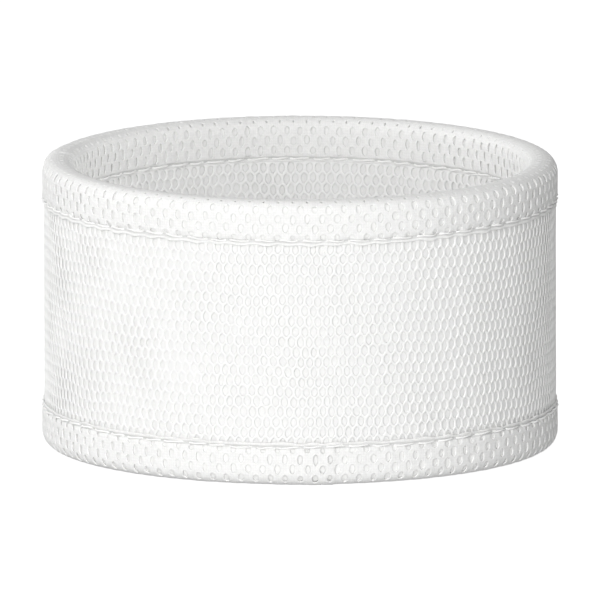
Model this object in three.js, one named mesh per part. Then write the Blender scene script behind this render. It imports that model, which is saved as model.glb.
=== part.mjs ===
// A sweat wristband: a padded ring of net cloth with a folded mesh binding sewn over each edge.
// Millimetres, +Z up. The ring stands on its lower rim at z = 0, centred on the Z axis, and its
// front faces -Y.
import * as THREE from "three";
import { mergeGeometries } from "three/addons/utils/BufferGeometryUtils.js";

// Overall sizes.
const outerDiameter = 64.0;
const height = 35.8;
const wallThickness = 4.0;

// Cloth and thread.
const netThickness = 0.4;
const bindingThickness = 0.6;
const bindingProud = 0.2; // how far the binding stands out past the net beside it
const threadDiameter = 0.2;

// The folded binding, measured from the crest of the rim.
const stitchDepth = 4.9;
const edgePastStitch = 0.5;
const restingFlatWidth = 1.2;

// The strips are cut flat, and each is joined into a ring by one upright seam.
const joinWidth = 1.6;
const outerJoinAngle = Math.PI; // angles run from the front towards +X
const coreJoinAngle = Math.PI / 2;
const innerJoinAngle = 0;

// Clearance between neighbouring layers, and how finely the round is cut.
const layerGap = 0.15;
const dimpleSlope = 0.1;
const segmentsRound = 48;
const segmentsPerQuarterRoll = 3;
const threadSides = 4;
const cordSides = 8;

// The rim: a half-round roll, pressed flat where it rests.
const halfWall = wallThickness / 2;
const middleRadius = outerDiameter / 2 - halfWall;
const flatHalfWidth = restingFlatWidth / 2;
const flatHalfAngle = Math.asin(flatHalfWidth / halfWall);
const rollCentreHeight = halfWall * Math.cos(flatHalfAngle);
const rollRoomRadius = halfWall - bindingThickness;
const edgeCordRadius = rollRoomRadius - layerGap;
const bindingDepth = stitchDepth + edgePastStitch;

// The stitches pull the binding in, so that the thread lies flush in a dimple.
const dimpleDepth = threadDiameter + layerGap;
const dimpleHalfHeight = threadDiameter / 2 + layerGap;

// The strips of net and padding reach down to the edge cord, and are pressed thinner in the binding.
const stripEnd = rollCentreHeight + edgeCordRadius + layerGap;
const stepStart = bindingDepth;
const stepEnd = bindingDepth + bindingThickness;
const netFaceInBinding = halfWall - bindingThickness - layerGap;
const netFaceOnPanel = halfWall - bindingProud;
const coreFaceInBinding = netFaceInBinding - netThickness - layerGap;
const coreFaceOnPanel = netFaceOnPanel - netThickness - layerGap;

const finishes = {
  net: { color: 0xf6f6f4, roughness: 0.85, metalness: 0 },
  binding: { color: 0xf3f3f1, roughness: 0.85, metalness: 0 },
  core: { color: 0xe6e6e3, roughness: 0.95, metalness: 0 },
  elastic: { color: 0xdedbd2, roughness: 0.7, metalness: 0 },
  thread: { color: 0xffffff, roughness: 0.5, metalness: 0 },
};

function piece(name, geometry, finish) {
  const mesh = new THREE.Mesh(geometry, new THREE.MeshStandardMaterial(finishes[finish]));
  mesh.name = name;
  return mesh;
}

// Profiles are lists of points in the wall's section: x is the distance outwards from the middle
// of the wall, y is the height. They run anticlockwise.
const point = (fromMiddle, z) => new THREE.Vector2(fromMiddle, z);

// Points along an arc, both ends included.
function arc(centre, radius, fromAngle, toAngle, steps) {
  return Array.from({ length: steps + 1 }, (_, i) => {
    const angle = fromAngle + ((toAngle - fromAngle) * i) / steps;
    return point(centre.x + radius * Math.cos(angle), centre.y + radius * Math.sin(angle));
  });
}

// A round section, such as a thread's or a cord's.
function roundSection(centre, radius, sides) {
  return arc(centre, radius, 0, 2 * Math.PI, sides).slice(0, sides);
}

const acrossWall = (profile) => profile.map((p) => point(-p.x, p.y)).reverse();
const atOtherEnd = (profile) => profile.map((p) => point(p.x, height - p.y)).reverse();
const atRadius = (profile) => profile.map((p) => point(middleRadius + p.x, p.y));

// One face of a strip, from its lower end to its upper end, stepping in where the binding grips it.
function stripFace(inBinding, onPanel) {
  const lowerHalf = [
    point(inBinding, stripEnd),
    point(inBinding, stepStart),
    point(onPanel, stepEnd),
  ];
  return [...lowerHalf, ...atOtherEnd(lowerHalf)];
}

const netProfile = [
  ...stripFace(netFaceInBinding, netFaceOnPanel),
  ...stripFace(netFaceInBinding - netThickness, netFaceOnPanel - netThickness).reverse(),
];

const coreFace = stripFace(coreFaceInBinding, coreFaceOnPanel);
const coreProfile = [...coreFace, ...acrossWall(coreFace)];

// Half of the binding's outside, from the resting flat up to its free edge, with the stitch dimple.
const bindingOutside = [
  ...arc(
    point(0, rollCentreHeight),
    halfWall,
    -Math.PI / 2 + flatHalfAngle,
    0,
    segmentsPerQuarterRoll,
  ),
  point(halfWall, stitchDepth - dimpleHalfHeight - dimpleSlope),
  point(halfWall - dimpleDepth, stitchDepth - dimpleHalfHeight),
  point(halfWall - dimpleDepth, stitchDepth + dimpleHalfHeight),
  point(halfWall, stitchDepth + dimpleHalfHeight + dimpleSlope),
  point(halfWall, bindingDepth),
];
const bindingRoom = [
  point(rollRoomRadius, bindingDepth),
  ...arc(point(0, rollCentreHeight), rollRoomRadius, 0, -Math.PI, 2 * segmentsPerQuarterRoll),
  point(-rollRoomRadius, bindingDepth),
];
const bindingProfile = [...bindingOutside, ...bindingRoom, ...acrossWall(bindingOutside)];

const edgeCordProfile = roundSection(point(0, rollCentreHeight), edgeCordRadius, cordSides);
const threadRadius = threadDiameter / 2;
const needleProfile = roundSection(point(halfWall - threadRadius, stitchDepth), threadRadius, threadSides);
const bobbinProfile = acrossWall(needleProfile);

// Turns a lathe, which turns round Y from +Z, so that it turns round Z from the front, -Y.
const upright = (geometry) => geometry.rotateX(Math.PI / 2).deleteAttribute("uv");

// The profile turned all the way round.
function ring(profile) {
  const section = atRadius(profile);
  return upright(new THREE.LatheGeometry([...section, section[0].clone()], segmentsRound));
}

// The profile turned between two angles, with a cap at each end.
function partRing(profile, startAngle, endAngle, segments) {
  const section = atRadius(profile);
  const outline = [...section, section[0].clone()];
  const wall = new THREE.LatheGeometry(outline, segments, startAngle, endAngle - startAngle);
  const capAt = (angle) => new THREE.ShapeGeometry(new THREE.Shape(section)).rotateY(angle - Math.PI / 2);
  const endCap = capAt(endAngle);
  endCap.setIndex([...endCap.index.array].reverse());
  return upright(mergeGeometries([wall, capAt(startAngle), endCap]));
}

// A strip closed into a ring by a seam at joinAngle, and the seam's stitching, which fills the join.
function joinedStrip(stripName, joinName, profile, finish, joinAngle) {
  const halfOpening = joinWidth / 2 / middleRadius;
  const halfSeam = (joinWidth / 2 - layerGap) / middleRadius;
  const strip = partRing(
    profile,
    joinAngle + halfOpening,
    joinAngle + 2 * Math.PI - halfOpening,
    segmentsRound,
  );
  const seam = partRing(profile, joinAngle - halfSeam, joinAngle + halfSeam, 1);
  return [piece(stripName, strip, finish), piece(joinName, seam, "thread")];
}

const wristband = new THREE.Group();

const outerPanel = new THREE.Group();
outerPanel.add(
  ...joinedStrip("outer_net_panel", "outer_panel_join_thread", netProfile, "net", outerJoinAngle),
);

const padding = new THREE.Group();
padding.add(
  ...joinedStrip("absorbent_core", "core_join_thread", coreProfile, "core", coreJoinAngle),
);

const lining = new THREE.Group();
lining.add(
  ...joinedStrip(
    "inner_net_panel",
    "inner_panel_join_thread",
    acrossWall(netProfile),
    "net",
    innerJoinAngle,
  ),
);

const lowerHem = new THREE.Group();
lowerHem.add(
  piece("lower_hem_binding", ring(bindingProfile), "binding"),
  piece("lower_edge_cord", ring(edgeCordProfile), "elastic"),
  piece("lower_needle_thread", ring(needleProfile), "thread"),
  piece("lower_bobbin_thread", ring(bobbinProfile), "thread"),
);

const upperHem = new THREE.Group();
upperHem.add(
  piece("upper_hem_binding", ring(atOtherEnd(bindingProfile)), "binding"),
  piece("upper_edge_cord", ring(atOtherEnd(edgeCordProfile)), "elastic"),
  piece("upper_needle_thread", ring(atOtherEnd(needleProfile)), "thread"),
  piece("upper_bobbin_thread", ring(atOtherEnd(bobbinProfile)), "thread"),
);

wristband.add(outerPanel, padding, lining, lowerHem, upperHem);

export default wristband;
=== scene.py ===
"""Looks of a padded net wristband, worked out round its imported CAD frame.

Every length is in metres unless a name says otherwise. The band stands on its lower rim at z = 0,
its axis is Z and its front faces -Y. Angles run from the front towards +X.
"""

from __future__ import annotations

import logging
import math
from dataclasses import dataclass, field, replace
from enum import Enum
from typing import Any, Callable

import bpy
import numpy as np
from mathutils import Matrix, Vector


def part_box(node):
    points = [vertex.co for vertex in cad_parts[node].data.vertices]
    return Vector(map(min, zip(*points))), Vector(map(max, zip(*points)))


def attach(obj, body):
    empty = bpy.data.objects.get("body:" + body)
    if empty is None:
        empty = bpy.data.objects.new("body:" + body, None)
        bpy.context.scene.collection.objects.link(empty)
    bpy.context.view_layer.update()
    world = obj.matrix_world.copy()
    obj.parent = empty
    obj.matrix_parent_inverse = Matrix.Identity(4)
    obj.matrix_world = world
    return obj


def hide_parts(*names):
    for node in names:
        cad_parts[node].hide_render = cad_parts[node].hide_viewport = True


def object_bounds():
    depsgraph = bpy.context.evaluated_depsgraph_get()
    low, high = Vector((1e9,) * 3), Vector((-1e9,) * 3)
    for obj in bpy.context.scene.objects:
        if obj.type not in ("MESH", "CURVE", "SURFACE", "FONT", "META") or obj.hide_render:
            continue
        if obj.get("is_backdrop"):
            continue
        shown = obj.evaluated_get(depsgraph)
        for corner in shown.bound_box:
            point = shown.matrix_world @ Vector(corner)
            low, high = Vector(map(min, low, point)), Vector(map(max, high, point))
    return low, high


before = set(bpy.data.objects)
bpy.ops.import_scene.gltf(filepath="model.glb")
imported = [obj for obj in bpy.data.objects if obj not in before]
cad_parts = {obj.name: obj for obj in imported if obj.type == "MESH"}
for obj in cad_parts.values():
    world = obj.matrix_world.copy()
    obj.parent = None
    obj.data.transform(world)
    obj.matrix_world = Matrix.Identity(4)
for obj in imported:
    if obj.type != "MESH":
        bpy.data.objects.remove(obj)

MM = 0.001
TURN = 2 * math.pi
log = logging.getLogger("wristband")

NET_THICKNESS = 0.16 * MM
"""How thick the nets are, which the padding makes room for."""

Array = np.ndarray


def smooth_step(low: float, high: float, value: Array) -> Array:
    """Cubic step from 0 at low to 1 at high: t * t * (3 - 2 t) of the clipped share t."""
    share = np.clip((value - low) / (high - low), 0, 1)
    return share * share * (3 - 2 * share)


def angle_between(angle: Array, reference: float) -> Array:
    """Signed angle from reference to angle, wrapped to half a turn each way."""
    return (angle - reference + math.pi) % TURN - math.pi


def full_turn(steps: int) -> Array:
    """Evenly spaced angles once round, without the last one, which is the first again."""
    return np.linspace(0, TURN, steps, endpoint=False)


def pair(first: Array | float, second: Array | float) -> Array:
    """Two coordinates side by side along a new last axis."""
    return np.stack(np.broadcast_arrays(first, second), axis=-1)


def unit(vectors: Array) -> Array:
    """The vectors at length 1, shape (n, 3)."""
    return vectors / np.linalg.norm(vectors, axis=1, keepdims=True)


def aim(obj: bpy.types.Object, target: Vector, azimuth: float, elevation: float,
        distance: float) -> None:
    """Puts a camera or light at a distance from the target, facing it, and links it to the scene.

    Args:
        obj: The camera or light.
        target: What it looks at.
        azimuth: Degrees from the front towards +X.
        elevation: Degrees above the target.
        distance: Metres from the target.
    """
    a, e = math.radians(azimuth), math.radians(elevation)
    out = Vector((math.sin(a) * math.cos(e), -math.cos(a) * math.cos(e), math.sin(e)))
    obj.location = target + out * distance
    obj.rotation_euler = (-out).to_track_quat("-Z", "Y").to_euler()
    bpy.context.scene.collection.objects.link(obj)


class Rim(Enum):
    """The two edges of the band."""

    LOWER = "lower"
    UPPER = "upper"


class Side(Enum):
    """The two faces of the wall. The value is the sign of the way out of the wall."""

    OUTSIDE = 1
    INSIDE = -1


@dataclass(frozen=True)
class Wall:
    """Sizes of the band's wall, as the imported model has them."""

    outer_radius: float
    inner_radius: float
    height: float
    stitch_depth: float
    binding_depth: float
    net_radius: float
    strip_end: float
    core_half: float
    thread_diameter: float
    join_width: float

    @classmethod
    def from_frame(cls) -> "Wall":
        """Reads the sizes from the boxes of the CAD nodes.

        Returns:
            The wall, with depths measured from the crest of the rim.
        """
        binding_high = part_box("lower_hem_binding")[1]
        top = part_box("upper_hem_binding")[1].z
        needle_low, needle_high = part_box("lower_needle_thread")
        thread = needle_high.z - needle_low.z
        strip_low, strip_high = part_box("outer_net_panel")
        join_low, join_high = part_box("outer_panel_join_thread")
        outer = binding_high.x
        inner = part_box("lower_bobbin_thread")[1].x - thread
        middle = (outer + inner) / 2
        return cls(
            outer_radius=outer,
            inner_radius=inner,
            height=top,
            stitch_depth=(needle_low.z + needle_high.z) / 2,
            binding_depth=binding_high.z,
            net_radius=strip_high.x,
            strip_end=strip_low.z,
            core_half=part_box("absorbent_core")[1].x - middle,
            thread_diameter=thread,
            join_width=join_high.x - join_low.x,
        )

    @property
    def middle(self) -> float:
        """Radius of the middle of the wall."""
        return (self.outer_radius + self.inner_radius) / 2

    @property
    def half(self) -> float:
        """Half of the wall's thickness."""
        return (self.outer_radius - self.inner_radius) / 2


@dataclass(frozen=True)
class Waves:
    """Smooth irregularity: a sum of sine waves that closes round the band.

    The value at (angle, along) is the mean over the waves of sin(n angle + k along + phase), scaled
    so that its usual size is the amplitude.
    """

    amplitude: float
    seed: int
    count: int = 9
    turns: tuple[int, int] = (3, 26)
    along_length: float = 12 * MM

    def __call__(self, angle: Array, along: Array | float = 0.0) -> Array:
        """Value, in the amplitude's unit, at each angle and distance along the wall."""
        draw = np.random.default_rng(self.seed)
        n = draw.integers(self.turns[0], self.turns[1], self.count)
        k = draw.uniform(-1, 1, self.count) * TURN / self.along_length
        phase = draw.uniform(0, TURN, self.count)
        total = np.zeros(np.broadcast(angle, along).shape)
        for turns, rate, start in zip(n, k, phase):
            total = total + np.sin(turns * angle + rate * along + start)
        return self.amplitude * total * math.sqrt(2 / self.count)


# --- Mesh making -----------------------------------------------------------------------------


@dataclass
class Shape:
    """Points, quads and cloth coordinates of one piece, gathered block by block."""

    blocks: list[Array] = field(default_factory=list)
    cloth: list[Array] = field(default_factory=list)
    quads: list[Array] = field(default_factory=list)
    fans: list[list[int]] = field(default_factory=list)
    count: int = 0

    def add(self, points: Array, cloth: Array) -> Array:
        """Adds points and their cloth coordinates.

        Args:
            points: Positions, shape (..., 3).
            cloth: Cloth coordinates in millimetres round and along the cloth, shape (..., 2).

        Returns:
            The indices of the points, with the shape of the block.
        """
        shape = points.shape[:-1]
        number = int(np.prod(shape))
        self.blocks.append(points.reshape(-1, 3))
        self.cloth.append(np.broadcast_to(cloth, (*shape, 2)).reshape(-1, 2))
        index = np.arange(self.count, self.count + number).reshape(shape)
        self.count += number
        return index

    def band(self, lower: Array, upper: Array) -> None:
        """Joins two closed rows of points, anticlockwise when upper is above lower.

        Args:
            lower: Indices of rows that close on themselves along the last axis.
            upper: Indices of the same shape.
        """
        quad = [lower, np.roll(lower, -1, -1), np.roll(upper, -1, -1), upper]
        self.quads.append(np.stack(quad, axis=-1).reshape(-1, 4))

    def tube(self, rings: Array, closed: bool) -> None:
        """Skins rings of points, shape (rings, sides), into a tube.

        Args:
            rings: Indices of the rings, each running anticlockwise seen from the tube's end.
            closed: Whether the last ring joins the first one. An open tube gets two end faces.
        """
        following = np.roll(rings, -1, 0) if closed else rings[1:]
        self.band(rings if closed else rings[:-1], following)
        if not closed:
            self.fans.append([int(i) for i in rings[0][::-1]])
            self.fans.append([int(i) for i in rings[-1]])

    def build(self, name: str, period_mm: float = 0.0) -> bpy.types.Object:
        """Makes the mesh object, with its faces turned outwards.

        The sum of p0 . (p1 x p2) + p0 . (p2 x p3) over the quads is positive when they face out.

        Args:
            name: The piece's name.
            period_mm: The cloth coordinate's length once round, or 0 where it doesn't close.

        Returns:
            A smooth-shaded object at the origin with a UV map of its cloth coordinates.
        """
        points = np.concatenate(self.blocks)
        quads = np.concatenate(self.quads)
        p0, p1, p2, p3 = (points[quads[:, i]] for i in range(4))
        inward = np.einsum("ij,ij", p0, np.cross(p1, p2) + np.cross(p2, p3)) < 0
        way = -1 if inward else 1
        quads = quads[:, ::way]
        fans = [fan[::way] for fan in self.fans]
        loops = np.concatenate([quads.ravel(), *[np.array(fan, int) for fan in fans]])
        totals = np.array([4] * len(quads) + [len(fan) for fan in fans], np.int32)
        starts = np.concatenate([[0], np.cumsum(totals)[:-1]]).astype(np.int32)
        mesh = bpy.data.meshes.new(name)
        mesh.vertices.add(len(points))
        mesh.vertices.foreach_set("co", points.astype(np.float32).ravel())
        mesh.loops.add(len(loops))
        mesh.loops.foreach_set("vertex_index", loops.astype(np.int32))
        mesh.polygons.add(len(totals))
        mesh.polygons.foreach_set("loop_start", starts)
        mesh.polygons.foreach_set("use_smooth", np.ones(len(totals), bool))
        mesh.update(calc_edges=True)
        mesh.validate()
        uv = np.concatenate(self.cloth)[loops]
        if period_mm:
            corners = uv[: quads.size, 0].reshape(-1, 4)
            crosses = (corners.max(1) - corners.min(1) > period_mm / 2)[:, None]
            corners += np.where(crosses & (corners < period_mm / 2), period_mm, 0)
            uv[: quads.size, 0] = corners.ravel()
        layer = mesh.uv_layers.new(name="cloth")
        layer.data.foreach_set("uv", uv.astype(np.float32).ravel())
        obj = bpy.data.objects.new(name, mesh)
        bpy.context.scene.collection.objects.link(obj)
        return obj


def ring_tube(centre: Array, across: Array, up: Array, radius: float, sides: int) -> Array:
    """Rings of a tube: centre + radius (cos(a) across + sin(a) up), for angles a round the section.

    Args:
        centre: Points along the middle, shape (n, 3).
        across: Unit vectors of the section's first axis, shape (n, 3).
        up: Unit vectors of its second axis, shape (n, 3).
        radius: The tube's radius.
        sides: Points in one section.

    Returns:
        Points of shape (n, sides, 3).
    """
    a = full_turn(sides)[None, :, None]
    return centre[:, None] + radius * (np.cos(a) * across[:, None] + np.sin(a) * up[:, None])


def polar(radius: Array | float, angle: Array, z: Array | float) -> Array:
    """Points at a radius, an angle from the front towards +X, and a height."""
    parts = np.broadcast_arrays(radius * np.sin(angle), -radius * np.cos(angle), z)
    return np.stack(parts, axis=-1)


def thread_along(centre: Array, facing: Array, radius: float, along_mm: Array, closed: bool,
                 sides: int = 8) -> Shape:
    """A round thread along a path.

    Args:
        centre: Points along its middle, shape (n, 3).
        facing: A direction across the path at each point, shape (n, 3).
        radius: The thread's radius.
        along_mm: Millimetres along the thread at each point.
        closed: Whether its end joins its start.
        sides: Points in one section.

    Returns:
        The skinned thread, with turns round it and millimetres along it as cloth coordinates.
    """
    ahead = np.roll(centre, -1, 0) - np.roll(centre, 1, 0) if closed else np.gradient(centre, axis=0)
    along = unit(ahead)
    up = unit(np.cross(facing, along))
    points = ring_tube(centre, np.cross(along, up), up, radius, sides)
    shape = Shape()
    cloth = pair((np.arange(sides) / sides)[None, :], along_mm[:, None])
    shape.tube(shape.add(points, cloth), closed)
    return shape


# --- Open cloth ------------------------------------------------------------------------------


@dataclass(frozen=True)
class Ring:
    """One ring of points round a hole: its share of the way from rim to cell edge, and its depth."""

    share: float
    depth: float


@dataclass
class OpenCloth:
    """Cloth of staggered oval holes, as net and eyelet mesh are knitted.

    Rows of cells are stacked in brick order. A cell is a hexagon of 12 points, and its hole is the
    rounded diamond |x / a| ^ m + |y / b| ^ m = 1 of 12 points, joined to the hexagon by rings.
    """

    columns: int
    rows: Array
    low_edge: float
    high_edge: float
    hole_width: Array
    hole_height: Array
    power: float
    rings: list[Ring]
    thickness: float
    low_margin: Array = field(default_factory=lambda: np.zeros(0))
    high_margin: Array = field(default_factory=lambda: np.zeros(0))
    point_share: float = 0.19
    jitter: float = 0.0
    seed: int = 1

    CORNERS = 12
    EDGE_BULGE = 0.35
    EDGE_DEPTHS = (0.25, 0.75)

    def lines(self) -> tuple[Array, Array]:
        """Edges between the rows of cells, as a zigzag of four points to a column.

        Returns:
            Columns and heights of the points, shape (rows + 1, 4 * columns). The zigzag peaks over
            the cells below it by point_share of the distance between the two rows.
        """
        q = np.arange(4 * self.columns)
        number = len(self.rows)
        below = np.arange(-1, number) % 2
        phase = (q[None, :] - 2 * below[:, None]) % 4
        zigzag = np.array([1.0, 0.0, -1.0, 0.0])[phase]
        middle = np.concatenate(
            [[self.low_edge], (self.rows[1:] + self.rows[:-1]) / 2, [self.high_edge]]
        )
        size = np.concatenate([[0.0], np.diff(self.rows) * self.point_share, [0.0]])
        x = np.broadcast_to(q / 4, zigzag.shape)
        return x, middle[:, None] + size[:, None] * zigzag

    def hole(self) -> tuple[Array, Array]:
        """Points round a hole of half width and half height 1: the powers 2 / m of cosine and sine."""
        t = np.arange(self.CORNERS) * TURN / self.CORNERS
        bend = 2 / self.power
        x = np.sign(np.cos(t)) * np.abs(np.cos(t)).round(12) ** bend
        s = np.sign(np.sin(t)) * np.abs(np.sin(t)).round(12) ** bend
        return x, s

    def open_area(self) -> float:
        """Area of all the holes, by the sum of x dy - y dx round each one."""
        x, s = self.hole()
        unit = 0.5 * float(np.sum(x * np.roll(s, -1) - np.roll(x, -1) * s))
        return unit * float(np.sum(self.hole_width * self.hole_height)) / 4

    def make(self, name: str, place: Callable[[Array, Array, Array], Array],
             circumference: float) -> bpy.types.Object:
        """Builds the cloth.

        Args:
            name: The piece's name.
            place: Turns angle, distance along the cloth and depth below its face into points.
            circumference: Its length once round, for the cloth coordinates.

        Returns:
            The closed solid of the cloth.
        """
        shape = Shape()
        turn = TURN / self.columns
        per_column = circumference / self.columns / MM

        def add(x: Array, s: Array, depth: float) -> Array:
            """Adds the points at column x, distance s and depth."""
            cloth = pair((x % self.columns) * per_column, s / MM)
            return shape.add(place(x * turn, s, np.full(np.shape(s), depth)), cloth)

        line_x, line_s = self.lines()
        number = len(self.rows)
        parity = np.arange(number) % 2
        between = np.arange(self.columns)[None, :] + parity[:, None] / 2 + 0.5
        between_s = np.broadcast_to(self.rows[:, None], between.shape)

        edges: dict[float, tuple[Array, Array]] = {}
        for depth in (0.0, self.thickness):
            edges[depth] = (add(line_x, line_s, depth), add(between, between_s, depth))

        corner_index: dict[float, Array] = {}
        column = np.arange(self.columns)[None, :]
        row = np.arange(number)[:, None]
        centre_q = 4 * column + 2 * parity[:, None]
        for depth, (on_lines, on_sides) in edges.items():
            above = [on_lines[row + 1, (centre_q + k) % (4 * self.columns)] for k in (2, 1, 0, -1, -2)]
            below = [on_lines[row, (centre_q + k) % (4 * self.columns)] for k in (-2, -1, 0, 1, 2)]
            right = on_sides[row, column]
            left = on_sides[row, (column - 1) % self.columns]
            corner_index[depth] = np.stack([right, *above, left, *below], axis=-1)

        draw = np.random.default_rng(self.seed)
        noise = draw.normal(0, 1, (4, number, self.columns)) * self.jitter
        a = self.hole_width / 2 * (1 + noise[0])
        b = self.hole_height / 2 * (1 + noise[1])
        unit_x, unit_s = self.hole()
        pitch = circumference / self.columns
        mid_x = (column + parity[:, None] / 2)[..., None]
        mid_s = np.broadcast_to(self.rows[:, None], (number, self.columns))[..., None]
        hole_x = mid_x + (a[..., None] * unit_x + (noise[2] * a)[..., None]) / pitch
        hole_s = mid_s + b[..., None] * unit_s + (noise[3] * b)[..., None]

        all_x = np.concatenate([line_x.ravel(), between.ravel()])
        all_s = np.concatenate([line_s.ravel(), between_s.ravel()])
        first = corner_index[0.0] - edges[0.0][0].min()
        corner_x = all_x[first]
        corner_s = all_s[first]
        corner_x = mid_x + (corner_x - mid_x + self.columns / 2) % self.columns - self.columns / 2

        previous = corner_index[0.0]
        for ring in self.rings:
            x = hole_x + ring.share * (corner_x - hole_x)
            s = hole_s + ring.share * (corner_s - hole_s)
            current = add(x, s, ring.depth)
            shape.band(previous, current)
            previous = current
        shape.band(previous, corner_index[self.thickness])

        self.close(shape, add, edges, high=True)
        self.close(shape, add, edges, high=False)
        return shape.build(name, circumference / MM)

    def close(self, shape: Shape, add: Callable[[Array, Array, float], Array],
              edges: dict[float, tuple[Array, Array]], high: bool) -> None:
        """Adds the plain margin past the last row of holes and closes the cloth's edge.

        Args:
            shape: The piece so far.
            add: Adds points at a column, a distance along the cloth and a depth.
            edges: The edge lines of the cells on each face.
            high: Whether this is the edge at the far end of the cloth, or the one at its start.
        """
        which = -1 if high else 0
        margin = self.high_margin if high else self.low_margin
        x = np.arange(4 * self.columns) / 4
        rows = {depth: [edges[depth][0][which]] for depth in edges}
        for s in margin:
            for depth, found in rows.items():
                found.append(add(x, np.full(x.shape, s), depth))
        chain = rows[0.0]
        if len(margin):
            way = 1 if high else -1
            past = margin[-1] + way * self.thickness * self.EDGE_BULGE
            for share in self.EDGE_DEPTHS:
                chain = chain + [add(x, np.full(x.shape, past), self.thickness * share)]
        chain = chain + rows[self.thickness][::-1]
        for lower, upper in zip(chain[:-1], chain[1:]):
            if high:
                shape.band(lower, upper)
            else:
                shape.band(upper, lower)


# --- Finishes --------------------------------------------------------------------------------


class Number:
    """A number-valued socket that can be used in arithmetic. Each operator adds a Math node."""

    def __init__(self, graph: "Graph", socket: Any) -> None:
        self.graph = graph
        self.socket = socket

    def math(self, operation: str, *others: Any) -> "Number":
        """Adds a Math node of that operation on this value and the others."""
        values = {i: v for i, v in enumerate((self, *others))}
        return self.graph.node("ShaderNodeMath", {"operation": operation}, values)

    def __add__(self, other: Any) -> "Number":
        """This value plus the other."""
        return self.math("ADD", other)

    __radd__ = __add__

    def __mul__(self, other: Any) -> "Number":
        """This value times the other."""
        return self.math("MULTIPLY", other)

    __rmul__ = __mul__

    def __sub__(self, other: Any) -> "Number":
        """This value minus the other."""
        return self.math("SUBTRACT", other)

    def __rsub__(self, other: Any) -> "Number":
        """The other value minus this one."""
        return self.graph.node("ShaderNodeMath", {"operation": "SUBTRACT"}, {0: other, 1: self})

    def sine(self) -> "Number":
        """The sine of this value in radians."""
        return self.math("SINE")

    def size(self) -> "Number":
        """This value without its sign."""
        return self.math("ABSOLUTE")

    def share(self, width: float) -> "Number":
        """This value over the width, kept between 0 and 1."""
        scaled = self.math("DIVIDE", width)
        scaled.socket.node.use_clamp = True
        return scaled


class Graph:
    """The node tree of one material."""

    def __init__(self, name: str) -> None:
        self.material = bpy.data.materials.new(name)
        self.material.use_nodes = True
        self.tree = self.material.node_tree
        self.tree.nodes.clear()

    def node(self, kind: str, settings: dict[str, Any] | None = None,
             inputs: dict[int | str, Any] | None = None, output: int | str = 0) -> Number:
        """Adds a node.

        Args:
            kind: The node's type.
            settings: Its properties, set before its sockets.
            inputs: Values or links by socket name or number.
            output: The output that is handed back.

        Returns:
            The output socket, wrapped.
        """
        made = self.tree.nodes.new(kind)
        for key, value in (settings or {}).items():
            setattr(made, key, value)
        for key, value in (inputs or {}).items():
            if isinstance(value, Number):
                self.tree.links.new(value.socket, made.inputs[key])
            else:
                made.inputs[key].default_value = value
        return Number(self, made.outputs[output] if made.outputs else None)

    def place(self) -> Number:
        """Object coordinates, in metres."""
        return self.node("ShaderNodeTexCoord", output="Object")

    def cloth(self) -> tuple[Number, Number]:
        """Millimetres round and along the cloth, from the piece's own UV map."""
        uv = self.node("ShaderNodeUVMap", {"uv_map": "cloth"})
        split = self.node("ShaderNodeSeparateXYZ", inputs={0: uv})
        return split, Number(self, split.socket.node.outputs[1])

    def noise(self, scale: float, detail: float = 3.0, roughness: float = 0.55) -> Number:
        """Noise over Object coordinates, from 0 to 1, with scale in features to the metre."""
        return self.node("ShaderNodeTexNoise", inputs={
            "Vector": self.place(), "Scale": scale, "Detail": detail, "Roughness": roughness,
        })

    def mix(self, factor: Number | float, first: Any, second: Any) -> Number:
        """Colour mix of first and second by the factor."""
        settings = {"data_type": "RGBA"}
        return self.node("ShaderNodeMix", settings, {0: factor, 6: first, 7: second}, output=2)

    def bump(self, height: Number, distance: float) -> Number:
        """A normal from a height, where a height of 1 is that distance in metres."""
        values = {"Height": height, "Distance": distance, "Strength": 1.0}
        return self.node("ShaderNodeBump", inputs=values)

    def finish(self, surface: Number) -> bpy.types.Material:
        """Joins the shader to the output and hands back the material."""
        self.node("ShaderNodeOutputMaterial", inputs={0: surface})
        return self.material


Colour = tuple[float, float, float, float]


@dataclass(frozen=True)
class Cloth:
    """A white textile: two close shades, a fine relief, a soft sheen and light that soaks in."""

    name: str
    light: Colour
    dark: Colour
    roughness: float
    mottle_scale: float
    fibre_scale: float
    fibre_depth: float
    sheen: float = 0.03
    soak: float = 0.3
    soak_depth: float = 0.15 * MM
    contrast: float = 1.0
    # pressed: the grey of the painted shade, mixed in by the painted shade share.
    pressed: Colour = (0.87, 0.87, 0.86, 1.0)

    def relief(self, graph: Graph) -> Number:
        """Height of the fibres, from 0 to 1. Kinds of cloth add their own structure."""
        return graph.noise(self.fibre_scale, detail=4.0, roughness=0.6)

    def painted_shade(self, graph: Graph) -> Number | float:
        """Share of painted shade, from 0 to 1: how much of the pressed grey is painted in as shade.
        None by default.
        """
        return 0.0

    def make(self) -> bpy.types.Material:
        """Builds the material.

        Returns:
            A Principled material whose colour and roughness follow the relief, with painted shade
            mixed into the colour.
        """
        graph = Graph(self.name)
        relief = self.relief(graph)
        mottle = graph.noise(self.mottle_scale, detail=2.0)
        shade = (relief * 0.5 + mottle * 0.5 - 0.5) * self.contrast + 0.5
        unshaded = graph.mix(shade, self.dark, self.light)
        # Painted shade: the pressed grey is mixed into the colour by the painted shade share.
        colour = graph.mix(self.painted_shade(graph), unshaded, self.pressed)
        roughness = self.roughness + (mottle - 0.5) * 0.12
        surface = graph.node("ShaderNodeBsdfPrincipled", {"subsurface_method": "RANDOM_WALK"}, {
            "Base Color": colour,
            "Roughness": roughness,
            "Normal": graph.bump(relief, self.fibre_depth),
            "Sheen Weight": self.sheen,
            "Sheen Roughness": 0.5,
            "Subsurface Weight": self.soak,
            "Subsurface Scale": self.soak_depth,
            "Subsurface Radius": (1.0, 1.0, 0.96),
            "Specular IOR Level": 0.3,
        })
        return graph.finish(surface)


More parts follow.
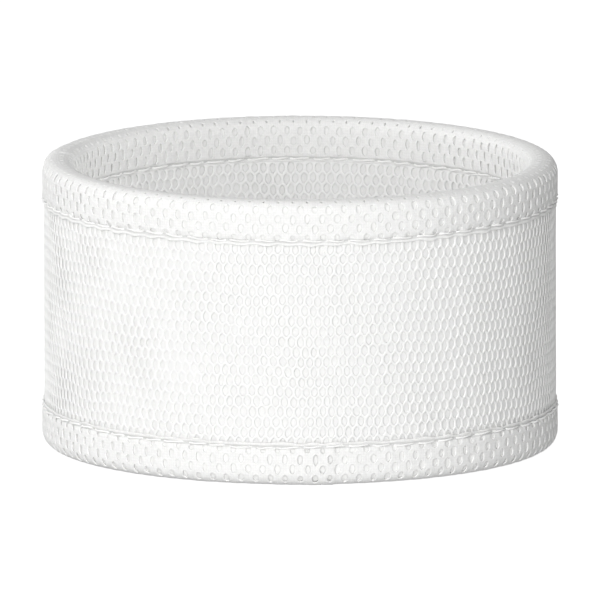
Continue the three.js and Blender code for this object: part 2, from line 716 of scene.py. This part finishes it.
@dataclass(frozen=True)
class NetCloth(Cloth):
    """Net with painted shade along both edges: on the plain selvage under the bindings, seen through
    the eyelets, and in a thin line just past the bindings' free edges.

    The holes reach reach_mm up and down from middle_mm, the height of the middle of the band.
    """

    middle_mm: float = 17.9
    reach_mm: float = 12.35

    def painted_shade(self, graph: Graph) -> Number:
        """Painted shade: 1 where the distance from the middle is past the reach, with a soft step 0.2
        mm wide.
        """
        _, along_mm = graph.cloth()
        return ((along_mm - self.middle_mm).size() - self.reach_mm).share(0.2)


@dataclass(frozen=True)
class KnitCloth(Cloth):
    """Cloth whose loops show: columns of loops, each loop a slanted bump.

    stitched_mm is the distance of the stitched groove along the cloth from the crest, where shade is
    painted, or 0 for none.
    """

    wale_mm: float = 0.3
    course_mm: float = 0.33
    stitched_mm: float = 0.0

    def painted_shade(self, graph: Graph) -> Number | float:
        """Painted shade along the stitched groove: 1 up to 0.16 mm from its middle, 0 past 0.26 mm."""
        if not self.stitched_mm:
            return 0.0
        _, along_mm = graph.cloth()
        away = (along_mm.size() - self.stitched_mm).size()
        return (0.26 - away).share(0.1)

    def relief(self, graph: Graph) -> Number:
        """Loop height: |sin| across each column, times a slow wave along it that leans outwards."""
        round_mm, along_mm = graph.cloth()
        wale = (round_mm * (math.pi / self.wale_mm)).sine().size()
        lean = (round_mm * (TURN / self.wale_mm)).sine() * 0.8
        course = (along_mm * (TURN / self.course_mm) + lean).sine() * 0.5 + 0.5
        fibre = graph.noise(self.fibre_scale, detail=3.0)
        return wale * 0.18 + course * 0.18 + fibre * 0.64


@dataclass(frozen=True)
class TwistedThread(Cloth):
    """Sewing thread: two plies wound round each other."""

    ply_mm: float = 0.35

    def relief(self, graph: Graph) -> Number:
        """Ply height: |sin| of a helix, one turn of a ply every ply_mm."""
        round_mm, along_mm = graph.cloth()
        helix = (round_mm * math.pi + along_mm * (math.pi / self.ply_mm)).sine().size()
        return helix * 0.8 + graph.noise(self.fibre_scale, detail=2.0) * 0.2


def grey(level: float) -> Colour:
    """An almost neutral colour, a little warm."""
    return (level, level, level * 0.99, 1.0)


# Its default pressed grey is painted shade on the selvage under the bindings.
NET = NetCloth(
    "knitted_net", grey(0.93), grey(0.89), roughness=0.7,
    mottle_scale=900.0, fibre_scale=5200.0, fibre_depth=0.02 * MM,
)
# Its pressed grey is painted shade on the selvage under the bindings.
LINING = NetCloth(
    "knitted_lining", grey(0.94), grey(0.89), roughness=0.72,
    mottle_scale=850.0, fibre_scale=5000.0, fibre_depth=0.02 * MM,
    contrast=1.6, pressed=grey(0.87),
)
# Its pressed grey is painted shade along the stitched groove, stitched_mm from the crest.
BINDING = KnitCloth(
    "eyelet_mesh", grey(0.93), grey(0.8), roughness=0.75,
    mottle_scale=2300.0, fibre_scale=6000.0, fibre_depth=0.03 * MM,
    contrast=2.2, pressed=grey(0.72), stitched_mm=6.22,
)
PADDING = Cloth(
    "brushed_padding", grey(0.91), grey(0.83), roughness=0.95,
    mottle_scale=1200.0, fibre_scale=3800.0, fibre_depth=0.03 * MM,
    soak=0.4, soak_depth=0.3 * MM, contrast=1.6,
)
ELASTIC = KnitCloth(
    "braided_elastic", grey(0.92), grey(0.86), roughness=0.7,
    mottle_scale=900.0, fibre_scale=5000.0, fibre_depth=0.04 * MM,
    soak_depth=0.3 * MM, wale_mm=0.5, course_mm=0.5,
)
THREAD = TwistedThread(
    "sewing_thread", grey(0.97), grey(0.92), roughness=0.45,
    mottle_scale=1500.0, fibre_scale=9000.0, fibre_depth=0.02 * MM,
    sheen=0.05, soak=0.2,
)


def dress(obj: bpy.types.Object, finish: Cloth, node: str, slot: str) -> bpy.types.Object:
    """Gives a piece its finish and its place in the frame.

    Args:
        obj: The new piece.
        finish: What it is made of.
        node: The CAD node that it stands for.
        slot: Not used.

    Returns:
        The same piece.
    """
    made = bpy.data.materials.get(finish.name) or finish.make()
    obj.data.materials.append(made)
    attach(obj, "root")
    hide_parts(node)
    log.info("%s: %d faces", obj.name, len(obj.data.polygons))
    return obj


# --- The band's own pieces -------------------------------------------------------------------


@dataclass(frozen=True)
class StitchLine:
    """One row of lockstitches round a hem, and how it quilts the layers that it holds."""

    wall: Wall
    wander: Waves
    uneven: Waves
    stitches: int = 67
    inside_drop: float = 0.15 * MM
    pinch: float = 0.13 * MM
    pinch_reach: float = 0.3 * MM
    pucker: float = 0.26 * MM
    pucker_reach: float = 0.24 * MM

    def depth(self, angle: Array, side: Array | float) -> Array:
        """How far below the crest the line runs. The bobbin's line lies a little deeper."""
        return self.wall.stitch_depth + self.wander(angle) + self.inside_drop * (side < 0)

    def phase(self, angle: Array) -> Array:
        """Position along the line, growing by 1 with each stitch. Stitches vary a little in length."""
        return angle / TURN * self.stitches + self.uneven(angle)

    def pull(self, angle: Array) -> Array:
        """How hard the thread pulls: 1 at the needle holes, 0 halfway between them."""
        return 0.5 + 0.5 * np.cos(TURN * self.phase(angle))

    def quilting(self, angle: Array, depth: Array, side: Array | float) -> Array:
        """How far a layer is pressed in: a long groove, -p exp(-(d / r)^2), with a pit at each hole.

        Args:
            angle: Angles from the front.
            depth: Depths below the crest.
            side: 1 outside and -1 inside.

        Returns:
            The layer's offset, negative into the wall.
        """
        away = depth - self.depth(angle, side)
        groove = np.exp(-((away / self.pinch_reach) ** 2))
        pit = np.exp(-((away / self.pucker_reach) ** 2)) * self.pull(angle)
        return -self.pinch * groove - self.pucker * pit


@dataclass(frozen=True)
class Fold:
    """The path of the binding's face in the wall's section.

    Distance s runs along the cloth from the crest: positive down the outside, negative down the
    inside. The roll is a quarter of the squared round (x / h)^p + (y / h)^p = 1 on each side, where h
    is half of the wall, and past it the cloth hangs straight.
    """

    wall: Wall
    rim: Rim
    stitches: StitchLine
    ripple: Waves
    lap_angle: float
    squareness: float = 2.5
    inside_short: float = 0.14 * MM
    lap_height: float = 0.13 * MM
    lap_width: float = 9 * MM
    lap_start: float = 1 * MM
    lap_end: float = 0.35 * MM
    edge_lift: float = 0.03 * MM
    edge_pull: float = 0.1 * MM
    edge_droop: float = 0.11 * MM
    chord: float = 0.04 * MM

    def roll(self) -> tuple[Array, Array, Array]:
        """Distances along the roll from the crest, and the offset and depth of the face there.

        Returns:
            Three rows of numbers, worked out by adding up short chords of the squared round.
        """
        t = np.linspace(0, math.pi / 2, 800)
        offset = self.wall.half * np.sin(t) ** (2 / self.squareness)
        depth = self.wall.half * (1 - np.abs(np.cos(t)) ** (2 / self.squareness))
        chords = np.hypot(np.diff(offset), np.diff(depth))
        return np.concatenate([[0], np.cumsum(chords)]), offset, depth

    def along(self, depth: Array | float) -> Array:
        """Distance along the cloth to a depth below the crest, on the straight part."""
        return self.roll()[0][-1] + depth - self.wall.half

    @property
    def edge(self) -> float:
        """Distance from the crest to the cloth's free edge, outside."""
        return float(self.along(self.wall.binding_depth))

    def place(self, angle: Array, s: Array, below: Array) -> Array:
        """Points of the binding, or of a thread that lies on it.

        Args:
            angle: Angles from the front.
            s: Distances from the crest along the cloth.
            below: Depths below the face.

        Returns:
            Points in the row frame, with the stitching's quilting, the free edge's waves and the
            ridge where the binding's own ends overlap. The lower rim is pressed flat on the table.
        """
        side = np.where(s < 0, -1.0, 1.0)
        length, across, down = self.roll()
        walked = np.minimum(np.abs(s), length[-1])
        offset = side * np.interp(walked, length, across)
        depth = np.interp(walked, length, down) + np.maximum(np.abs(s) - length[-1], 0)
        ahead = np.minimum(walked + self.chord, length[-1])
        back = np.maximum(walked - self.chord, 0)
        run = np.interp(ahead, length, across) - np.interp(back, length, across)
        fall = np.interp(ahead, length, down) - np.interp(back, length, down)
        size = np.hypot(run, fall)
        out, lift = side * fall / size, run / size

        past = (depth - self.wall.stitch_depth) / (self.wall.binding_depth - self.wall.stitch_depth)
        free = smooth_step(0, 1, past)
        pull = self.stitches.pull(angle)
        wave = self.ripple(angle)
        relief = self.stitches.quilting(angle, depth, side)
        relief = relief + free * (self.edge_lift - self.edge_pull * pull + 0.6 * wave)
        relief = relief + (1 - free) * 0.4 * self.ripple(angle, s)
        behind = angle_between(angle, self.lap_angle) * self.wall.outer_radius
        lap = smooth_step(-self.lap_width, -self.lap_start, behind)
        lap = lap * (1 - smooth_step(0, self.lap_end, behind))
        relief = relief + self.lap_height * lap * (1 - 0.8 * free)
        droop = self.edge_droop * (0.5 - pull) + 1.1 * wave
        depth = depth + free * droop + 0.2 * self.ripple(angle, s)

        moved = relief - below
        radius = self.wall.middle + offset + moved * out
        height = depth - moved * lift
        if self.rim is Rim.UPPER:
            return polar(radius, angle, self.wall.height - height)
        return polar(radius, angle, np.maximum(height, 0))


@dataclass
class Hem:
    """One rolled edge: binding, edge cord, and the two threads of its lockstitches.

    row_places are millimetres along the cloth from the crest. thread_radius is a share of the
    thread's diameter. A stitch rises and dives between the shares of its length in rises and dives.
    """

    wall: Wall
    rim: Rim
    lap_angle: float
    columns: int = 108
    cloth_thickness: float = 0.2 * MM
    row_places: tuple[float, ...] = (-5.2, -3.95, -2.7, -1.47, -0.28, 0.93, 2.15, 3.38, 4.6, 5.76)
    crest_rows: tuple[int, ...] = (3, 4, 5)
    crest_squeeze: tuple[float, float] = (0.25, 0.4)
    last_row_height: float = 0.62
    outer_half_cell: float = 0.4 * MM
    inner_half_cell: float = 0.64 * MM
    eyelet_width: float = 0.62 * MM
    eyelet_height: float = 1.16 * MM
    cord_shoulder: float = 0.68 * MM
    cord_steps: int = 540
    cord_sides: int = 28
    cord_strands: int = 4
    cord_turns: int = 180
    net_room: float = 0.24 * MM
    thread_steps: int = 20
    thread_radius: float = 0.65
    thread_tilt: float = 0.05 * MM
    thread_dive: float = 0.45 * MM
    rises: tuple[float, float] = (0.03, 0.16)
    dives: tuple[float, float] = (0.84, 0.97)

    def __post_init__(self) -> None:
        """Sets out the stitch line and the fold that the pieces share."""
        seed = 40 if self.rim is Rim.UPPER else 60
        self.stitches = StitchLine(
            self.wall,
            wander=Waves(0.05 * MM, seed=seed + 1, turns=(2, 14)),
            uneven=Waves(0.06, seed=seed + 2, turns=(12, 34)),
        )
        ripple = Waves(0.035 * MM, seed=seed + 4, turns=(18, 90), along_length=6 * MM)
        self.fold = Fold(self.wall, self.rim, self.stitches, ripple, self.lap_angle)

    def binding(self) -> bpy.types.Object:
        """Makes the folded eyelet mesh."""
        rows = np.array(self.row_places) * MM
        number = len(rows)
        width = np.full((number, self.columns), self.eyelet_width)
        height = np.full((number, self.columns), self.eyelet_height)
        height[-1] *= self.last_row_height
        width[list(self.crest_rows)] *= self.crest_squeeze[0]
        height[list(self.crest_rows)] *= self.crest_squeeze[1]
        last_out = rows[-1] + self.outer_half_cell
        last_in = rows[0] - self.inner_half_cell
        edge = self.fold.edge
        inner_edge = edge - self.fold.inside_short
        cloth = OpenCloth(
            columns=self.columns,
            rows=rows,
            low_edge=last_in,
            high_edge=last_out,
            hole_width=width,
            hole_height=height,
            power=1.9,
            rings=[
                Ring(0.5, -0.02 * MM),
                Ring(0.2, -0.03 * MM),
                Ring(0.04, 0.0),
                Ring(0.0, 0.05 * MM),
                Ring(0.0, self.cloth_thickness - 0.03 * MM),
                Ring(0.2, self.cloth_thickness),
            ],
            thickness=self.cloth_thickness,
            low_margin=-np.linspace(-last_in, inner_edge, 7)[1:],
            high_margin=np.linspace(last_out, edge, 7)[1:],
            jitter=0.1,
            seed=7 if self.rim is Rim.UPPER else 8,
        )
        name = self.rim.value + "_hem_binding_mesh"
        obj = cloth.make(name, self.fold.place, TURN * self.wall.middle)
        dress(obj, BINDING, self.rim.value + "_hem_binding", "binding")
        flat = (edge + inner_edge, TURN * self.wall.middle)
        area = flat[0] * flat[1] - cloth.open_area()
        return obj

    def thread(self, side: Side) -> bpy.types.Object:
        """Makes the thread of one side, which lies on the cloth and dives at each stitch's ends.

        Args:
            side: The needle thread's side, outside, or the bobbin thread's.

        Returns:
            One closed ring of thread.
        """
        wall = self.wall
        steps = self.stitches.stitches * self.thread_steps
        angle = full_turn(steps)
        phase = self.stitches.phase(angle) % 1
        shown = smooth_step(*self.rises, phase) * (1 - smooth_step(*self.dives, phase))
        tilt = -self.thread_tilt * np.sin(TURN * phase)
        depth = self.stitches.depth(angle, side.value) + tilt
        lie = 0.5 * wall.thread_diameter * (0.9 + 0.6 * np.sin(math.pi * phase))
        below = (1 - shown) * self.thread_dive - shown * lie
        centre = self.fold.place(angle, side.value * self.fold.along(depth), below)
        radius = self.thread_radius * wall.thread_diameter
        along_mm = angle * wall.outer_radius / MM
        shape = thread_along(centre, polar(1.0, angle, 0.0), radius, along_mm, closed=True)
        part = "needle" if side is Side.OUTSIDE else "bobbin"
        name = f"{self.rim.value}_{part}_thread"
        obj = shape.build(name + "_line")
        return dress(obj, THREAD, name, "thread")

    def edge_cord(self) -> bpy.types.Object:
        """Makes the braided elastic, squeezed to fill the roll.

        Its section is the roll's own shape, less the cloth, with a flatter inner side. The strands
        lift it by h max(|sin(m b + n a)|, |sin(m b - n a)|) at angle b round the section and a round
        the band.
        """
        wall = self.wall
        angle = full_turn(self.cord_steps)[:, None]
        b = full_turn(self.cord_sides)[None, :]
        right = np.abs(np.sin(self.cord_strands * b / 2 + self.cord_turns * angle / 2))
        left = np.abs(np.sin(self.cord_strands * b / 2 - self.cord_turns * angle / 2))
        braid = 0.04 * MM * (1 - np.maximum(right, left))
        size = wall.half - self.cloth_thickness - self.net_room - braid
        bend = np.where(np.sin(b) > 0, 0.45, 2 / self.fold.squareness)
        across = np.sign(np.cos(b)) * np.abs(np.cos(b)) ** bend * size
        rise = np.sign(np.sin(b)) * np.abs(np.sin(b)) ** bend
        z = wall.half + rise * np.where(rise > 0, self.cord_shoulder, size)
        if self.rim is Rim.UPPER:
            z = wall.height - z
        points = polar(wall.middle + across, angle, z)
        shape = Shape()
        cloth = pair(b * size / MM, angle * wall.middle / MM)
        shape.tube(shape.add(points, cloth), closed=True)
        name = self.rim.value + "_edge_cord"
        obj = shape.build(name + "_braid")
        return dress(obj, ELASTIC, name, "elastic")

    def build(self) -> None:
        """Makes every piece of the hem."""
        self.binding()
        self.edge_cord()
        self.thread(Side.OUTSIDE)
        self.thread(Side.INSIDE)


@dataclass
class Layers:
    """How the wall's layers lie between the bindings, and how the nets' edges turn in below them.

    Each layer follows the quilting of both hems.
    """

    lower: Fold
    upper: Fold
    binding_thickness: float
    gap: float = 0.02 * MM

    def __post_init__(self) -> None:
        """Keeps a smooth copy of each fold for the layers below the binding."""
        self.wall = self.lower.wall
        still = Waves(0.0, seed=0)
        self.lower_turn = replace(self.lower, ripple=still, lap_height=0.0)
        self.upper_turn = replace(self.upper, ripple=still, lap_height=0.0)

    def face(self, angle: Array, z: Array, side: float) -> Array:
        """Distance of the net's face from the middle of the wall, without small waves.

        Under a binding it lies right below the cloth, and past its edge it swells out again.
        """
        wall = self.wall
        proud = wall.net_radius - wall.middle
        pressed = wall.half - self.binding_thickness - self.gap
        depth = np.minimum(z, wall.height - z)
        out = pressed + (proud - pressed) * smooth_step(0, 0.8 * MM, depth - wall.binding_depth)
        low = self.lower.stitches.quilting(angle, z, side)
        high = self.upper.stitches.quilting(angle, wall.height - z, side)
        return out + low + high

    def turned_in(self, angle: Array, depth: Array, side: float, below: Array, rim: Rim) -> Array:
        """Points of a net's edge where it follows the roll, below the binding.

        Args:
            angle: Angles from the front.
            depth: Distances along the net from the level of the crest, less than half the wall.
            side: 1 outside and -1 inside.
            below: Depths below the net's face.
            rim: Which edge of the band it is.

        Returns:
            Points in the row frame.
        """
        fold = self.lower_turn if rim is Rim.LOWER else self.upper_turn
        s = np.maximum(fold.along(depth), 0.05 * MM)
        return fold.place(angle, side * s, below + self.binding_thickness + self.gap)


@dataclass
class NetPanel:
    """A sleeve of fine net on one face of the wall, with its upright join."""

    layers: Layers
    side: Side
    columns: int
    row_pitch: float
    join_angle: float
    finish: Cloth
    slot: str
    row_shift: float
    rows: int
    strip_end: float = -1.2 * MM
    selvage_rows: int = 32
    strand_depth: float = NET_THICKNESS
    hole_width: float = 0.74 * MM
    hole_height: float = 1.26 * MM
    seam_reach: float = 0.7 * MM
    seam_dip: float = 0.08 * MM
    zigzag_start: float = 1.2 * MM
    zigzag_pitch: float = 0.62 * MM
    zigzag_steps: int = 12

    def __post_init__(self) -> None:
        """Sets out the small irregularities of the knitting."""
        seed = 20 if self.side is Side.OUTSIDE else 30
        self.wall = self.layers.wall
        self.lean = Waves(0.0032, seed=seed, turns=(2, 18), along_length=16 * MM)
        self.rise = Waves(0.09 * MM, seed=seed + 1, turns=(3, 30), along_length=18 * MM)
        self.swell = Waves(0.03 * MM, seed=seed + 2, turns=(4, 24), along_length=14 * MM)

    @property
    def prefix(self) -> str:
        """The start of the names of the panel's pieces."""
        return "outer" if self.side is Side.OUTSIDE else "inner"

    def place(self, angle: Array, z: Array, below: Array) -> Array:
        """Points of the panel: a cylinder of radius middle +- (face - below), with small waves.

        Closer to a crest than half of the wall, the panel turns in with the binding's roll.
        """
        wall = self.wall
        depth = np.minimum(z, wall.height - z)
        inside = smooth_step(0, 2 * MM, depth - wall.binding_depth)
        away = angle_between(angle, self.join_angle) * wall.middle
        seam = np.exp(-((away / self.seam_reach) ** 2))
        offset = self.layers.face(angle, z, self.side.value) - below
        offset = offset + inside * self.swell(angle, z) - self.seam_dip * seam
        moved_angle = angle + inside * self.lean(angle, z) * (1 - seam)
        moved_z = z + inside * self.rise(angle, z)
        points = polar(wall.middle + self.side.value * offset, moved_angle, moved_z)
        for rim, level in ((Rim.LOWER, z), (Rim.UPPER, wall.height - z)):
            turned = self.layers.turned_in(angle, level, float(self.side.value), below, rim)
            points = np.where((level < wall.half)[..., None], turned, points)
        return points

    def net(self) -> bpy.types.Object:
        """Makes the net, whose holes close up at the join."""
        middle_z = self.wall.height / 2 + self.row_shift
        rows = middle_z + (np.arange(self.rows) - (self.rows - 1) / 2) * self.row_pitch
        column = np.arange(self.columns)[None, :] + (np.arange(self.rows) % 2)[:, None] / 2
        away = angle_between(column * TURN / self.columns, self.join_angle) * self.wall.middle
        open_share = 0.35 + 0.65 * smooth_step(0.4 * MM, 1.3 * MM, np.abs(away))
        low_edge, high_edge = rows[0] - self.row_pitch / 2, rows[-1] + self.row_pitch / 2
        top = self.wall.height - self.strip_end
        cloth = OpenCloth(
            columns=self.columns,
            rows=rows,
            low_edge=low_edge,
            high_edge=high_edge,
            hole_width=self.hole_width * open_share,
            hole_height=self.hole_height * open_share,
            power=1.55,
            rings=[
                Ring(0.5, 0.015 * MM),
                Ring(0.2, 0.05 * MM),
                Ring(0.0, 0.85 * self.strand_depth),
            ],
            thickness=self.strand_depth,
            low_margin=np.linspace(low_edge, self.strip_end, self.selvage_rows)[1:],
            high_margin=np.linspace(high_edge, top, self.selvage_rows)[1:],
            jitter=0.05,
            seed=2 if self.side is Side.OUTSIDE else 3,
        )
        radius = self.wall.middle + self.side.value * (self.wall.net_radius - self.wall.middle)
        name = self.prefix + "_net_panel"
        obj = cloth.make(name + "_mesh", self.place, TURN * radius)
        dress(obj, self.finish, name, self.slot)
        flat = (top - self.strip_end, TURN * radius)
        area = flat[0] * flat[1] - cloth.open_area()
        return obj

    def join(self) -> bpy.types.Object:
        """Makes the zigzag that closes the strip: across = w cos(pi p) at turn p."""
        wall = self.wall
        low = wall.strip_end + self.zigzag_start
        high = wall.height - wall.strip_end - self.zigzag_start
        turns = int((high - low) / self.zigzag_pitch)
        p = np.linspace(0, turns, turns * self.zigzag_steps + 1)
        z = low + (high - low) * p / turns
        across = (wall.join_width / 2 - 0.1 * MM) * np.clip(1.25 * np.cos(math.pi * p), -1, 1)
        angle = self.join_angle + across / wall.middle
        dive = smooth_step(0.86, 1.0, np.abs(np.cos(math.pi * p)))
        below = -0.5 * wall.thread_diameter - 0.04 * MM + dive * 0.3 * MM
        centre = self.place(angle, z, below)
        chords = np.linalg.norm(np.diff(centre, axis=0), axis=1)
        along_mm = np.concatenate([[0], np.cumsum(chords)]) / MM
        facing = polar(1.0, angle, 0.0)
        shape = thread_along(centre, facing, wall.thread_diameter / 2, along_mm, closed=False)
        name = self.prefix + "_panel_join_thread"
        obj = shape.build(name + "_zigzag")
        return dress(obj, THREAD, name, "thread")

    def build(self) -> None:
        """Makes the net and its join."""
        self.net()
        self.join()


@dataclass
class Core:
    """The absorbent padding between the two nets, and the stitching of its butted ends."""

    layers: Layers
    strip_end: float = 2.76 * MM
    join_angle: float = math.pi / 2
    steps_round: int = 670
    steps_along: int = 120
    ladder_start: float = 0.8 * MM
    ladder_pitch: float = 1.1 * MM
    ladder_steps: int = 14
    ladder_reach: float = 0.7
    fluff: Waves = Waves(0.012 * MM, seed=51, count=14, turns=(30, 240), along_length=3 * MM)

    def __post_init__(self) -> None:
        """Finds the wall."""
        self.wall = self.layers.wall

    def half_thickness(self, angle: Array, z: Array, side: float) -> Array:
        """Distance of the pad's face from the middle of the wall.

        It lies behind the net, but doesn't follow the net's own small waves or its dip at the join,
        so the two cross there a little.
        """
        return self.layers.face(angle, z, side) - NET_THICKNESS - self.layers.gap

    def padding(self) -> bpy.types.Object:
        """Makes the pad: the section is a long loop, up the outside and down the inside."""
        wall = self.wall
        angle = full_turn(self.steps_round)[:, None]
        low, high = self.strip_end, wall.height - self.strip_end
        z = np.linspace(low, high, self.steps_along)[None, :]
        from_end = np.minimum(z - low, high - z) / (0.12 * MM)
        round_off = np.sqrt(np.clip(1 - np.clip(1 - from_end, 0, 1) ** 2, 0.01, 1))
        away = angle_between(angle, self.join_angle) * wall.middle
        seam = 1 - 0.2 * np.exp(-((away / (0.4 * MM)) ** 2))
        faces = []
        for side in (1.0, -1.0):
            half = self.half_thickness(angle, z, side) + self.fluff(angle, z)
            faces.append(wall.middle + side * half * round_off * seam)
        radius = np.concatenate([faces[0], faces[1][:, ::-1]], axis=1)
        z = np.concatenate([z, z[:, ::-1]], axis=1)
        points = polar(radius, angle, z)
        cloth = pair(angle * wall.middle / MM, z / MM)
        shape = Shape()
        shape.tube(shape.add(points, cloth), closed=True)
        obj = shape.build("absorbent_core_pad")
        dress(obj, PADDING, "absorbent_core", "core")
        return obj

    def join(self) -> bpy.types.Object:
        """Makes the ladder of thread through the butted ends: an upright zigzag from face to face."""
        wall = self.wall
        low = self.strip_end + self.ladder_start
        high = wall.height - self.strip_end - self.ladder_start
        turns = int((high - low) / self.ladder_pitch)
        p = np.linspace(0, turns, turns * self.ladder_steps + 1)
        z = low + (high - low) * p / turns
        reach = wall.core_half * self.ladder_reach
        radius = wall.middle + reach * np.clip(1.3 * np.cos(math.pi * p), -1, 1)
        angle = self.join_angle + 0.4 * MM / wall.middle * np.sin(math.pi * p)
        centre = polar(radius, angle, z)
        facing = polar(1.0, angle + math.pi / 2, 0.0)
        shape = thread_along(centre, facing, wall.thread_diameter / 2, z / MM, closed=False)
        obj = shape.build("core_join_thread_ladder")
        return dress(obj, THREAD, "core_join_thread", "thread")

    def build(self) -> None:
        """Makes the pad and its join."""
        self.padding()
        self.join()


# --- Studio ----------------------------------------------------------------------------------


@dataclass(frozen=True)
class SoftBox:
    """A square area light that looks at the band, or at a point beside the band's middle."""

    name: str
    azimuth: float
    elevation: float
    power: float
    distance: float = 1.0
    size: float = 0.9
    beside: tuple[float, float, float] = (0.0, 0.0, 0.0)

    def build(self, middle: Vector) -> None:
        """Adds the light, aimed at the band's middle or beside it."""
        data = bpy.data.lights.new(self.name, "AREA")
        data.shape = "SQUARE"
        data.size = self.size
        data.energy = self.power
        light = bpy.data.objects.new(self.name, data)
        light.visible_camera = False
        aim(light, middle + Vector(self.beside), self.azimuth, self.elevation, self.distance)


@dataclass(frozen=True)
class Studio:
    """Floor, lights and a parallel view from a little above the table."""

    wall: Wall
    elevation: float = 10.0
    distance: float = 1.0
    view_width: float = 74.56 * MM
    lights: tuple[SoftBox, ...] = (
        SoftBox("left", azimuth=-110, elevation=20, power=5.8),
        SoftBox("front_left", azimuth=-20, elevation=20, power=3.7),
        SoftBox("front", azimuth=0, elevation=15, power=5.0),
        SoftBox("above_right", azimuth=90, elevation=65, power=1.3),
        SoftBox("table_bounce", azimuth=0, elevation=-30, power=2.1),
        SoftBox(
            "through_left_wall", azimuth=90, elevation=0, power=0.0012,
            distance=12 * MM, size=12 * MM, beside=(-20 * MM, 0.0, 12 * MM),
        ),
    )
    ambient: float = 0.28
    floor_side: float = 6.0
    floor_drop: float = 0.05 * MM

    def camera(self, target: Vector) -> None:
        """Adds the camera, in front of the target and a little above it."""
        data = bpy.data.cameras.new("camera")
        data.type = "ORTHO"
        data.ortho_scale = self.view_width
        data.clip_start = 0.05
        data.clip_end = 20
        camera = bpy.data.objects.new("camera", data)
        aim(camera, target, 0.0, self.elevation, self.distance)
        bpy.context.scene.camera = camera

    def floor(self) -> None:
        """Adds a white floor that the band's light doesn't bounce off."""
        corners = np.array([[-1, -1, 0], [1, -1, 0], [1, 1, 0], [-1, 1, 0]]) * self.floor_side / 2
        mesh = bpy.data.meshes.new("floor")
        mesh.from_pydata((corners - [0, 0, self.floor_drop]).tolist(), [], [(0, 1, 2, 3)])
        obj = bpy.data.objects.new("floor", mesh)
        bpy.context.scene.collection.objects.link(obj)
        graph = Graph("white_floor")
        glow = {"Base Color": (0.3, 0.3, 0.3, 1), "Roughness": 1.0, "Specular IOR Level": 0.0,
                "Emission Color": (1, 1, 1, 1), "Emission Strength": 0.9}
        mesh.materials.append(graph.finish(graph.node("ShaderNodeBsdfPrincipled", inputs=glow)))
        obj.visible_diffuse = False
        obj.visible_glossy = False
        obj.visible_shadow = False
        obj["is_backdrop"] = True

    def world(self) -> None:
        """Sets a white surround that lights the band only softly."""
        world = bpy.data.worlds.new("studio")
        world.use_nodes = True
        nodes, links = world.node_tree.nodes, world.node_tree.links
        background = nodes["Background"]
        background.inputs["Color"].default_value = (1, 1, 1, 1)
        path = nodes.new("ShaderNodeLightPath")
        level = nodes.new("ShaderNodeMapRange")
        level.inputs["To Min"].default_value = self.ambient
        level.inputs["To Max"].default_value = 1.0
        links.new(path.outputs["Is Camera Ray"], level.inputs["Value"])
        links.new(level.outputs[0], background.inputs["Strength"])
        bpy.context.scene.world = world

    def build(self) -> None:
        """Adds the whole studio."""
        scene = bpy.context.scene
        scene.view_settings.view_transform = "Standard"
        target = Vector((0, 0, self.wall.height / 2))
        self.camera(target)
        self.floor()
        for light in self.lights:
            light.build(target)
        self.world()


def main() -> None:
    """Builds the wristband round the frame, piece by piece."""
    logging.basicConfig(level=logging.INFO, format="%(name)s: %(message)s")
    cad_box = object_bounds()
    wall = Wall.from_frame()
    log.info("wall: %s", wall)
    Studio(wall).build()
    lower = Hem(wall, Rim.LOWER, lap_angle=0.129)
    upper = Hem(wall, Rim.UPPER, lap_angle=-1.7)
    layers = Layers(lower.fold, upper.fold, lower.cloth_thickness)
    Core(layers).build()
    NetPanel(
        layers, Side.OUTSIDE, columns=182, rows=20, row_pitch=1.283 * MM, row_shift=-0.29 * MM,
        join_angle=math.pi, finish=NET, slot="outer_net",
    ).build()
    NetPanel(
        layers, Side.INSIDE, columns=156, rows=19, row_pitch=1.3 * MM, row_shift=0.05 * MM,
        join_angle=0.0, finish=LINING, slot="lining_net",
    ).build()
    lower.build()
    upper.build()
    boxes = {"cad": cad_box, "visual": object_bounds()}
    {key: [list(corner) for corner in box] for key, box in boxes.items()}


if __name__ == "__main__":
    main()
